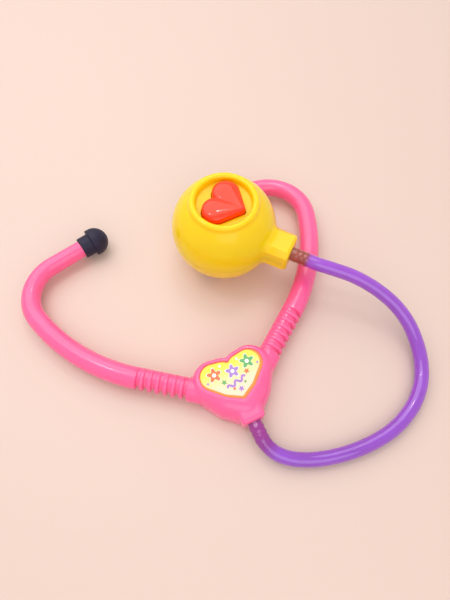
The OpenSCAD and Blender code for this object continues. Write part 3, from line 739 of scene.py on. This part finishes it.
sticker = {
    "floor": 13.0, "thick": 0.3, "border": 0.85, "shift": (-0.3, 0.4), "inkThick": 0.04,
    "borderColours": ((1.0, 0.28, 0.005), (0.95, 0.2, 0.004)),
    "top": (1.0, 0.78, 0.03), "bottom": (1.0, 0.72, 0.5), "fadeFrom": 2.0, "fadeTo": -9.0,
    "roughness": 0.28, "coat": 0.5, "coatRoughness": 0.1,
    "inks": ((0.9, 0.16, 0.02), (0.10, 0.42, 0.10), (0.38, 0.20, 0.62), (0.95, 0.9, 0.85)),
    "white": 3, "waveInk": 2,  # places among the inks
    "petals": 5, "petalMean": 0.76, "petalReach": 0.24, "starPoints": 5, "starInner": 0.45,
    "halo": 0.4, "eyeShare": 0.28, "turn": 10, "curveSteps": 60, "dotSteps": 24,
    "wave": {"turns": 2.5, "wide": 9.4, "tall": 0.85, "stroke": 1.0, "place": (-0.2, -7.6), "turn": 12},
    # x, y, size, ink
    "flowers": ((-7.9, -0.9, 3.3, 0), (0.2, -2.4, 3.1, 2), (7.9, -0.8, 3.3, 1)),
    "stars": ((-5.2, -5.6, 1.5, 1), (5.9, -4.9, 1.5, 0), (0.5, -11.0, 1.5, 2)),
    "dots": ((-4.1, 1.9, 0.6, 3), (4.2, 2.0, 0.6, 3), (-11.9, -3.4, 0.5, 2), (11.9, -3.2, 0.5, 2),
             (-2.2, -9.9, 0.55, 0), (3.4, -8.9, 0.55, 1)),
}
stickerPlastic = dict(plasticBase, roughness=0.3, coat=0.4, glow=0.0, wave=0.05)


def flatPlate(bm, points, place, size, turn, base, ink):
    # a thin closed plate in one ink; the first two materials are the border's and the ground's
    spin = Matrix.Rotation(math.radians(turn), 3, "Z")
    made = len(bm.faces)
    skinOver(bm, [[spin @ Vector((size * x, size * y, 0)) + Vector((*place, z)) for x, y in points]
                  for z in (base, base + sticker["inkThick"])])
    bm.faces.ensure_lookup_table()
    for face in bm.faces[made:]:
        face.material_index = 2 + ink


def fadePaper():
    # yellow that fades to peach toward the heart's tip
    material, tree, shader = newMaterial("fadePaper")
    where = addNode(tree, "ShaderNodeTexCoord")
    axes = addNode(tree, "ShaderNodeSeparateXYZ")
    tree.links.new(where.outputs["Object"], axes.inputs["Vector"])
    fade = addNode(tree, "ShaderNodeMapRange", interpolation_type="SMOOTHSTEP")
    fade.inputs["From Min"].default_value = sticker["fadeFrom"] * mm
    fade.inputs["From Max"].default_value = sticker["fadeTo"] * mm
    tree.links.new(axes.outputs["Y"], fade.inputs["Value"])
    tint = addTint(tree, fade.outputs["Result"], sticker["top"], sticker["bottom"])
    tree.links.new(tint, shader.inputs["Base Color"])
    shader.inputs["Roughness"].default_value = sticker["roughness"]
    setConstants(shader, sticker)
    return material


def wavePoints(look):
    # a band of even width that runs up and down in a smooth wave
    rate = math.tau * look["turns"]
    line = [Vector((look["wide"] * (t - 0.5), look["tall"] * math.sin(rate * t)))
            for t in shareOf(sticker["curveSteps"])]
    sides = []
    for i in range(len(line)):
        run = directionAt(line, i)
        sides.append(Vector((-run.y, run.x)) * look["stroke"] / 2)
    upper = [tuple(spot + side) for spot, side in zip(line, sides)]
    return upper + [tuple(spot - side) for spot, side in reversed(list(zip(line, sides)))]


def printedShapes():
    # outlines of a flower, a star and a dot, each of size 1
    flower, star = [], []
    for t in shareOf(sticker["curveSteps"])[:-1]:
        a = math.tau * t
        out = sticker["petalMean"] + sticker["petalReach"] * math.cos(sticker["petals"] * a)
        flower.append((out * math.cos(a), out * math.sin(a)))
    for n in range(2 * sticker["starPoints"]):
        a, out = math.pi * n / sticker["starPoints"] + math.pi / 2, 1 if n % 2 == 0 else sticker["starInner"]
        star.append((out * math.cos(a), out * math.sin(a)))
    return flower, star, arcPoints((0, 0), 1, 0, 360, sticker["dotSteps"])[:-1]


def makeSticker():
    ink, turn, floor = sticker["inkThick"], sticker["turn"], sticker["floor"]
    top = floor + sticker["thick"]
    bm = bmesh.new()
    outline = heartRing(yoke["sticker"], yoke["stickerNotchR"], 0, top)
    inner = heartRing(yoke["sticker"], yoke["stickerNotchR"], sticker["border"], top)
    shiftX, shiftY = sticker["shift"]
    skinOver(bm, [[(x, y, floor) for x, y, _ in outline], outline,
                  [(x + shiftX, y + shiftY, z) for x, y, z in inner]])
    ground = max(bm.faces, key=lambda face: (len(face.verts), face.calc_center_median().z))
    ground.material_index = 1
    flower, star, dot = printedShapes()
    for x, y, size, index in sticker["flowers"]:
        flatPlate(bm, flower, (x, y), size + sticker["halo"], turn, top, sticker["white"])
        flatPlate(bm, flower, (x, y), size, turn, top + ink / 2, index)
    for shape, places in ((star, sticker["stars"]), (dot, sticker["dots"])):
        for x, y, size, index in places:
            flatPlate(bm, shape, (x, y), size, turn, top + ink / 2, index)
    for x, y, size, _ in sticker["flowers"]:
        flatPlate(bm, dot, (x, y), size * sticker["eyeShare"], 0, top + ink, sticker["white"])
    band = sticker["wave"]
    flatPlate(bm, wavePoints(band), band["place"], 1, band["turn"], top, sticker["waveInk"])
    inks = [mouldedPlastic("ink" + str(i), dict(stickerPlastic, colour=colour, colour2=colour))
            for i, colour in enumerate(sticker["inks"])]
    colour, colour2 = sticker["borderColours"]
    border = mouldedPlastic("stickerBorder", dict(stickerPlastic, colour=colour, colour2=colour2))
    finishPiece("heartSticker", bm, [border, fadePaper(), *inks], "root", ["yoke_sticker"])


makeSticker()
print("sticker made")


# Chest piece

chest = {
    **chestPlace, "ballR": 25.0, "ballSteps": 56,
    "stemHalf": 7.3, "stemBevel": 2.6, "sideSteps": 6, "endBevel": 1.2,
    "flare": 4.0, "flareSteps": 10, "flareRoot": 0.93,
    "lipR": 14.4, "lipRound": 1.6, "lipRise": 0.8, "lipEnd": 168, "lipSteps": 16,
    "valley": 2.5, "valleySteps": 8,
    "dishR": 12.85, "dishDeep": 3.6, "dishRound": 0.8, "dishSteps": 6,
    "wall": 2.0, "hollowSteps": 24, "floorThick": 1.8, "baseThick": 3.4, "seam": 0.06,
    # inner radius, outer radius, low and high
    "seamRing": (21.8, 22.8, 17.5, 23.6),
    "postRing": 17.4, "tubeR": 5.2, "wellR": 3.2, "wellTop": 12.0, "screwTurns": (90, 180, 270),
    "diaphragmR": 10.5, "diaphragmDeep": 1.2, "diaphragmSides": 96,
    "stemHole": 7.4, "stemHoleStart": 1, "stemEnd": 31.0, "spigotBore": 2.3, "spigotStart": 25.5,
    # runs of cutters past what they cut, and a reach past the whole chest piece
    "past": 1, "overlap": 2, "through": 3, "reach": 60, "steps": 144,
}
chest["crestZ"] = chest["ballZ"] + math.sqrt(chest["ballR"] ** 2 - chest["lipR"] ** 2) + chest["lipRise"]
chest["dishZ"] = chest["crestZ"] - chest["dishDeep"]
chestMatrix = Matrix.Translation((*chest["at"], 0)) @ Matrix.Rotation(math.radians(chest["stemTurn"]), 4, "Z")


def meetCircles(a, ra, b, rb):
    # where two circles cross, on the right of the line from a to b
    span = Vector(b) - Vector(a)
    run = (ra ** 2 - rb ** 2 + span.length ** 2) / (2 * span.length)
    rise = math.sqrt(ra ** 2 - run ** 2)
    forward = span.normalized()
    return Vector(a) + forward * run + Vector((forward.y, -forward.x)) * rise


def turnTo(a, b):
    return math.degrees(math.atan2(b[1] - a[1], b[0] - a[0]))


def domeProfile():
    # from the middle of the base round the ball, over the lip and into the dish
    ball, lip = (0, chest["ballZ"]), (chest["lipR"], chest["crestZ"] - chest["lipRound"])
    valley = meetCircles(ball, chest["ballR"] + chest["valley"], lip, chest["lipRound"] + chest["valley"])
    low = -math.degrees(math.asin(chest["ballZ"] / chest["ballR"]))
    profile = [(0, 0)]
    profile += arcPoints(ball, chest["ballR"], low, turnTo(ball, valley), chest["ballSteps"])
    profile += arcPoints(valley, chest["valley"], turnTo(ball, valley) - 180, turnTo(valley, lip),
                         chest["valleySteps"])[1:]
    profile += arcPoints(lip, chest["lipRound"], turnTo(lip, valley), chest["lipEnd"], chest["lipSteps"])[1:]
    corner, wallR, floorZ = chest["dishRound"], chest["dishR"], chest["dishZ"]
    profile += arcPoints((wallR - corner, floorZ + corner), corner, 0, -90, chest["dishSteps"])
    return profile + [(0, floorZ)]


def stemSection(inset):
    # the bevelled square, a few points to each side
    half = chest["stemHalf"] - inset
    flat = chest["stemHalf"] - chest["stemBevel"]
    corners = [(half, -flat), (half, flat), (flat, half), (-flat, half),
               (-half, flat), (-half, -flat), (-flat, -half), (flat, -half)]
    points = []
    for i, (y, z) in enumerate(corners):
        nextY, nextZ = corners[(i + 1) % len(corners)]
        points += [(between(y, nextY, t), between(z, nextZ, t)) for t in shareOf(chest["sideSteps"])[:-1]]
    return points


def makeStem(bm):
    # each line of the section bends out to meet the ball in an arc of its own
    ballR, flare, root = chest["ballR"], chest["flare"], chest["flareRoot"]
    lines = []
    for y, z in stemSection(0):
        out = math.hypot(y, z)
        centreX = math.sqrt((ballR + flare) ** 2 - (out + flare) ** 2)
        last = math.degrees(math.atan2(-(out + flare), -centreX))
        arc = arcPoints((centreX, out + flare), flare, last, -90, chest["flareSteps"])
        arc.insert(0, (arc[0][0] * root, arc[0][1] * root))
        lines.append([(x, y / out * reach, z / out * reach) for x, reach in arc])
    rings = [list(ring) for ring in zip(*lines)]
    for x, inset in ((chest["stemReach"] - chest["endBevel"], 0), (chest["stemReach"], chest["endBevel"])):
        rings.append([(x, y, z) for y, z in stemSection(inset)])
    lift = chestMatrix @ Matrix.Translation((0, 0, chest["ballZ"]))
    skinOver(bm, [[lift @ Vector(p) for p in ring] for ring in rings])


def boxAt(bm, low, high):
    # a box between two corners in the chest piece's frame
    size = Matrix.Diagonal((*(h - l for l, h in zip(low, high)), 1))
    middle = Matrix.Translation([(l + h) / 2 for l, h in zip(low, high)])
    bmesh.ops.create_cube(bm, size=1, matrix=chestMatrix @ middle @ size)


def aroundChest(turn, out):
    return chestMatrix @ Matrix.Rotation(math.radians(turn), 4, "Z") @ Matrix.Translation((out, 0, 0))


def innerBall(low, high):
    # the hollow between two heights
    ballR, ballZ = chest["ballR"] - chest["wall"], chest["ballZ"]
    start, end = (math.degrees(math.asin((z - ballZ) / ballR)) for z in (low, high))
    bm = bmesh.new()
    lathe(bm, [(0, low), *arcPoints((0, ballZ), ballR, start, end, chest["hollowSteps"]), (0, high)],
          chestMatrix, chest["steps"] // 2)
    return bm


def connectorHole(bm):
    place = chestMatrix @ Matrix.Translation((0, 0, chest["ballZ"])) @ facing(Vector((1, 0, 0)))
    roundBar(bm, chest["spigotBore"], place, chest["spigotStart"], chest["stemReach"] + chest["past"])


def stemHollow(bm):
    half, ballZ = chest["stemHole"] / 2, chest["ballZ"]
    boxAt(bm, (chest["stemHoleStart"], -half, ballZ - half), (chest["stemEnd"], half, ballZ + half))


def outerChest():
    dome, stem = bmesh.new(), bmesh.new()
    lathe(dome, domeProfile(), chestMatrix, chest["steps"])
    makeStem(stem)
    return carved(dome, [stem], "UNION")


def halfOf(outer, low, high):
    reach = chest["reach"]
    keep = bmesh.new()
    boxAt(keep, (-reach, -reach, low), (reach, reach, high))
    return carved(outer.copy(), [keep], "INTERSECT")


def shutSlivers(bm):
    # the cuts leave a few points that are all but one
    bmesh.ops.remove_doubles(bm, verts=bm.verts, dist=weldGap)


def makeFrontShell(outer):
    dishZ, ballZ, through = chest["dishZ"], chest["ballZ"], chest["through"]
    hollow = innerBall(ballZ - chest["overlap"], dishZ - chest["floorThick"])
    connectorHole(hollow)
    holes = bmesh.new()
    stemHollow(holes)
    rings = [heartRing(button["discs"], button["notchR"], -button["gap"], height)
             for height in (dishZ - through, dishZ + through)]
    skinOver(holes, [[chestMatrix @ Vector((-y, x, z)) for x, y, z in ring] for ring in rings])
    bm = carved(halfOf(outer, ballZ + chest["seam"], chest["reach"]), [hollow, holes])
    shutSlivers(bm)
    finishPiece("frontShell", bm, [yellowPlastic], "root", ["chest_front"])


def makeBackShell(outer):
    ballZ, past, turns = chest["ballZ"], chest["past"], chest["screwTurns"]
    tubes = bmesh.new()
    for turn in turns:
        roundBar(tubes, chest["tubeR"], aroundChest(turn, chest["postRing"]), -past, ballZ - past)
    hollow = carved(innerBall(chest["baseThick"], ballZ + chest["overlap"]), [tubes])
    connectorHole(hollow)
    holes = bmesh.new()
    stemHollow(holes)
    for turn in turns:
        roundBar(holes, chest["wellR"], aroundChest(turn, chest["postRing"]), -past, chest["wellTop"])
    roundBar(holes, chest["diaphragmR"], chestMatrix, -past, chest["diaphragmDeep"], chest["diaphragmSides"])
    bm = carved(halfOf(outer, -past, ballZ - chest["seam"]), [hollow, holes])
    shutSlivers(bm)
    inner, outR, low, high = chest["seamRing"]
    lathe(bm, [(inner, low), (outR, low), (outR, high), (inner, high)], chestMatrix,
          chest["steps"] // 2, closed=True)
    finishPiece("backShell", bm, [yellowPlastic], "root", ["chest_back"])


# Heart button, whose tip points along the stem

button = {
    "discs": ((0, -8.9, 1.6), (5.2, 1.5, 6.4), (5.1, 1.5, 6.4)), "notchR": 0.6, "gap": 0.35,
    "skirt": 1.5, "flangeThick": 1.5, "floorGap": 0.3, "plungerR": 2.5, "plungerLength": 12.0, "lap": 0.5,
    "height": 4.0, "rim": 1.3, "full": 2.5, "tipShare": 1.3, "around": 48, "upward": 32,
    "step": 0.01, "voxel": 0.21, "softRounds": 2,
}


def swell(side, low):
    # one of the two lobes: a full dome drawn out to the tip
    bm = bmesh.new()
    tip, lobe = button["discs"][0], button["discs"][1]
    tall, full = button["height"] - button["rim"], button["full"]
    for (x, y, radius), height in ((lobe, tall), (tip, min(tall, tip[2] * button["tipShare"]))):
        ball = bmesh.ops.create_uvsphere(
            bm, u_segments=button["around"], v_segments=button["upward"], radius=1)["verts"]
        for v in ball:
            out = min(1, math.hypot(v.co.x, v.co.y))
            v.co.z = math.copysign((1 - out ** full) ** (1 / full), v.co.z)
        place = Matrix.Translation((side * x, y, low)) @ Matrix.Diagonal((radius, radius, height, 1))
        bmesh.ops.transform(bm, matrix=place, verts=ball)
    bmesh.ops.delete(bm, geom=bm.edges[:] + bm.faces[:], context="EDGES_FACES")
    hull = bmesh.ops.convex_hull(bm, input=bm.verts)
    bmesh.ops.delete(bm, geom=list({g for g in hull["geom_interior"] + hull["geom_unused"]
                                    if isinstance(g, bmesh.types.BMVert)}), context="VERTS")
    return bm


def makeButton():
    rimZ, step = chest["dishZ"] + button["rim"], button["step"]
    low = chest["dishZ"] - chest["floorThick"] - button["floorGap"] - button["flangeThick"]
    levels = ((-button["skirt"], low), (-button["skirt"], low + button["flangeThick"]),
              (0, low + button["flangeThick"] + step), (0, rimZ))
    bm = bmesh.new()
    skinOver(bm, [heartRing(button["discs"], button["notchR"], inset, z) for inset, z in levels])
    roundBar(bm, button["plungerR"], Matrix.Identity(4), low - button["plungerLength"], low + button["lap"])
    bm = carved(bm, [swell(side, rimZ) for side in (-1, 1)], "UNION")
    bm = melted(bm, button["voxel"], button["softRounds"])
    bm.transform(chestMatrix @ Matrix.Rotation(math.radians(90), 4, "Z"))
    finishPiece("heartButton", bm, [redPlastic], "heart_button", ["heart_button"])


outer = outerChest()
makeFrontShell(outer)
makeBackShell(outer)
outer.free()
print("chest piece made")
makeButton()
print("heart button made")


# Spring and screws

spring = {
    "coilR": 5.05, "wireR": 0.45, "low": 26.99, "high": 35.49, "travel": 2.0,
    "turns": 6, "ringsATurn": 36, "sides": 16,
}
screwBase = {
    "edgeShare": 0.3, "slotShare": 0.6, "rootShare": 0.82, "rootEnd": 0.35, "crestStart": 0.6,
    "edgeSteps": 6, "steps": 48,
}
yokeScrew = dict(
    screwBase, spots=((-5.2, 1.2), (5.2, 1.2), (0, -8.0)),
    headR=2.0, headThick=1.2, shankR=1.0, length=11.56, slot=0.7, slotDeep=0.7, pitch=0.9)
chestScrew = dict(
    screwBase, low=10.2,
    headR=2.7, headThick=1.8, shankR=1.3, length=14.8, slot=0.9, slotDeep=1.0, pitch=1.1)


def makeSpring():
    # an open coil that the heart squashes as it goes in; here it is drawn at rest length
    count = spring["turns"] * spring["ringsATurn"]
    line = []
    for i, t in enumerate(shareOf(count)):
        out = heading(360 * i / spring["ringsATurn"]) * spring["coilR"]
        line.append(chestMatrix @ (out + Vector((0, 0, between(spring["low"], spring["high"], t)))))
    bm = bmesh.new()
    stations = [(place, directionAt(line, i), spring["wireR"]) for i, place in enumerate(line)]
    tubeAlong(bm, stations, spring["sides"])
    piece = finishPiece("returnSpring", bm, [steel], "root", ["heart_spring"])
    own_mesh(piece)


def screwProfile(look):
    # rounded pan head, then a shank with a thread of rings
    head, shank, pitch = look["headR"], look["shankR"], look["pitch"]
    edge, root = head * look["edgeShare"], shank * look["rootShare"]
    profile = [(0, 0)] + arcPoints((head - edge, edge), edge, -90, 0, look["edgeSteps"])
    profile += [(head, look["headThick"]), (shank, look["headThick"])]
    z = look["headThick"] + pitch
    while z < look["length"] - 2 * pitch:
        profile += [(root, z), (root, z + look["rootEnd"] * pitch), (shank, z + look["crestStart"] * pitch)]
        z += pitch
    return profile + [(root, z), (0, look["length"])]


def makeScrews(name, look, places, node):
    # a group of alike screws, each with a cross slot in its head
    bodies, slots = bmesh.new(), bmesh.new()
    far, wide = look["headR"] * look["slotShare"], look["slot"] / 2
    cross = []
    for x, y in ((1, 1), (1, -1), (-1, -1), (-1, 1)):
        arms = [(x * wide, y * far), (x * wide, y * wide), (x * far, y * wide)]
        cross += arms if x == y else arms[::-1]
    for place in places:
        lathe(bodies, screwProfile(look), place, look["steps"])
        skinOver(slots, [[place @ Vector((x, y, z)) for x, y in cross]
                         for z in (-look["slot"], look["slotDeep"])])
    finishPiece(name, carved(bodies, [slots]), [steel], "root", [node])


makeSpring()
makeScrews("yokeCrossScrews", yokeScrew,
           [Matrix.Translation((*spot, 0)) for spot in yokeScrew["spots"]], "yoke_screws")
makeScrews("chestCrossScrews", chestScrew,
           [aroundChest(turn, chest["postRing"]) @ Matrix.Translation((0, 0, chestScrew["low"]))
            for turn in chest["screwTurns"]], "chest_screws")
print("spring and screws made")


# Stage and lights

stage = {
    "size": 4.0, "squares": 8, "colour": (0.725, 0.56, 0.485), "roughness": 0.45,
    "worldColour": (1.0, 0.965, 0.95), "worldStrength": 0.80, "aim": (0.01, 0.02, 0),
    # name, place, size, power
    "lamps": (("keyLight", (-0.04, 0.40, 0.62), 0.9, 2.6), ("fillLight", (-0.10, -0.45, 0.50), 0.6, 0.95),
              ("sparkLeft", (-0.16, 0.22, 0.60), 0.05, 0.15), ("sparkRight", (0.16, 0.26, 0.58), 0.05, 0.13)),
}


def makeStage():
    bm = bmesh.new()
    bmesh.ops.create_grid(bm, x_segments=stage["squares"], y_segments=stage["squares"],
                          size=stage["size"] / 2)
    floor = addObject("floor", meshOf(bm, "floor"))
    material, _, shader = newMaterial("paleTable")
    shader.inputs["Base Color"].default_value = (*stage["colour"], 1)
    shader.inputs["Roughness"].default_value = stage["roughness"]
    floor.data.materials.append(material)


def addLight(name, place, size, power):
    data = bpy.data.lights.new(name, "AREA")
    data.shape = "DISK"
    data.size = size
    data.energy = power
    lamp = addObject(name, data)
    lamp.location = place
    lamp.rotation_euler = (Vector(stage["aim"]) - Vector(place)).to_track_quat("-Z", "Y").to_euler()


def makeWorld():
    world = bpy.data.worlds.new("softRoom")
    world.use_nodes = True
    back = world.node_tree.nodes["Background"]
    back.inputs["Color"].default_value = (*stage["worldColour"], 1)
    back.inputs["Strength"].default_value = stage["worldStrength"]
    bpy.context.scene.world = world


makeStage()
for lamp in stage["lamps"]:
    addLight(*lamp)
makeWorld()

# CAD nodes that show as they are get a finish
nodeFinish = {
    "yoke_back": pinkPlastic, "hose_connector": pinkPlastic, "chest_connector": yellowPlastic,
    "chest_diaphragm": creamPlastic,
}
for nodeName, material in nodeFinish.items():
    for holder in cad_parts[nodeName].material_slots:
        holder.material = material
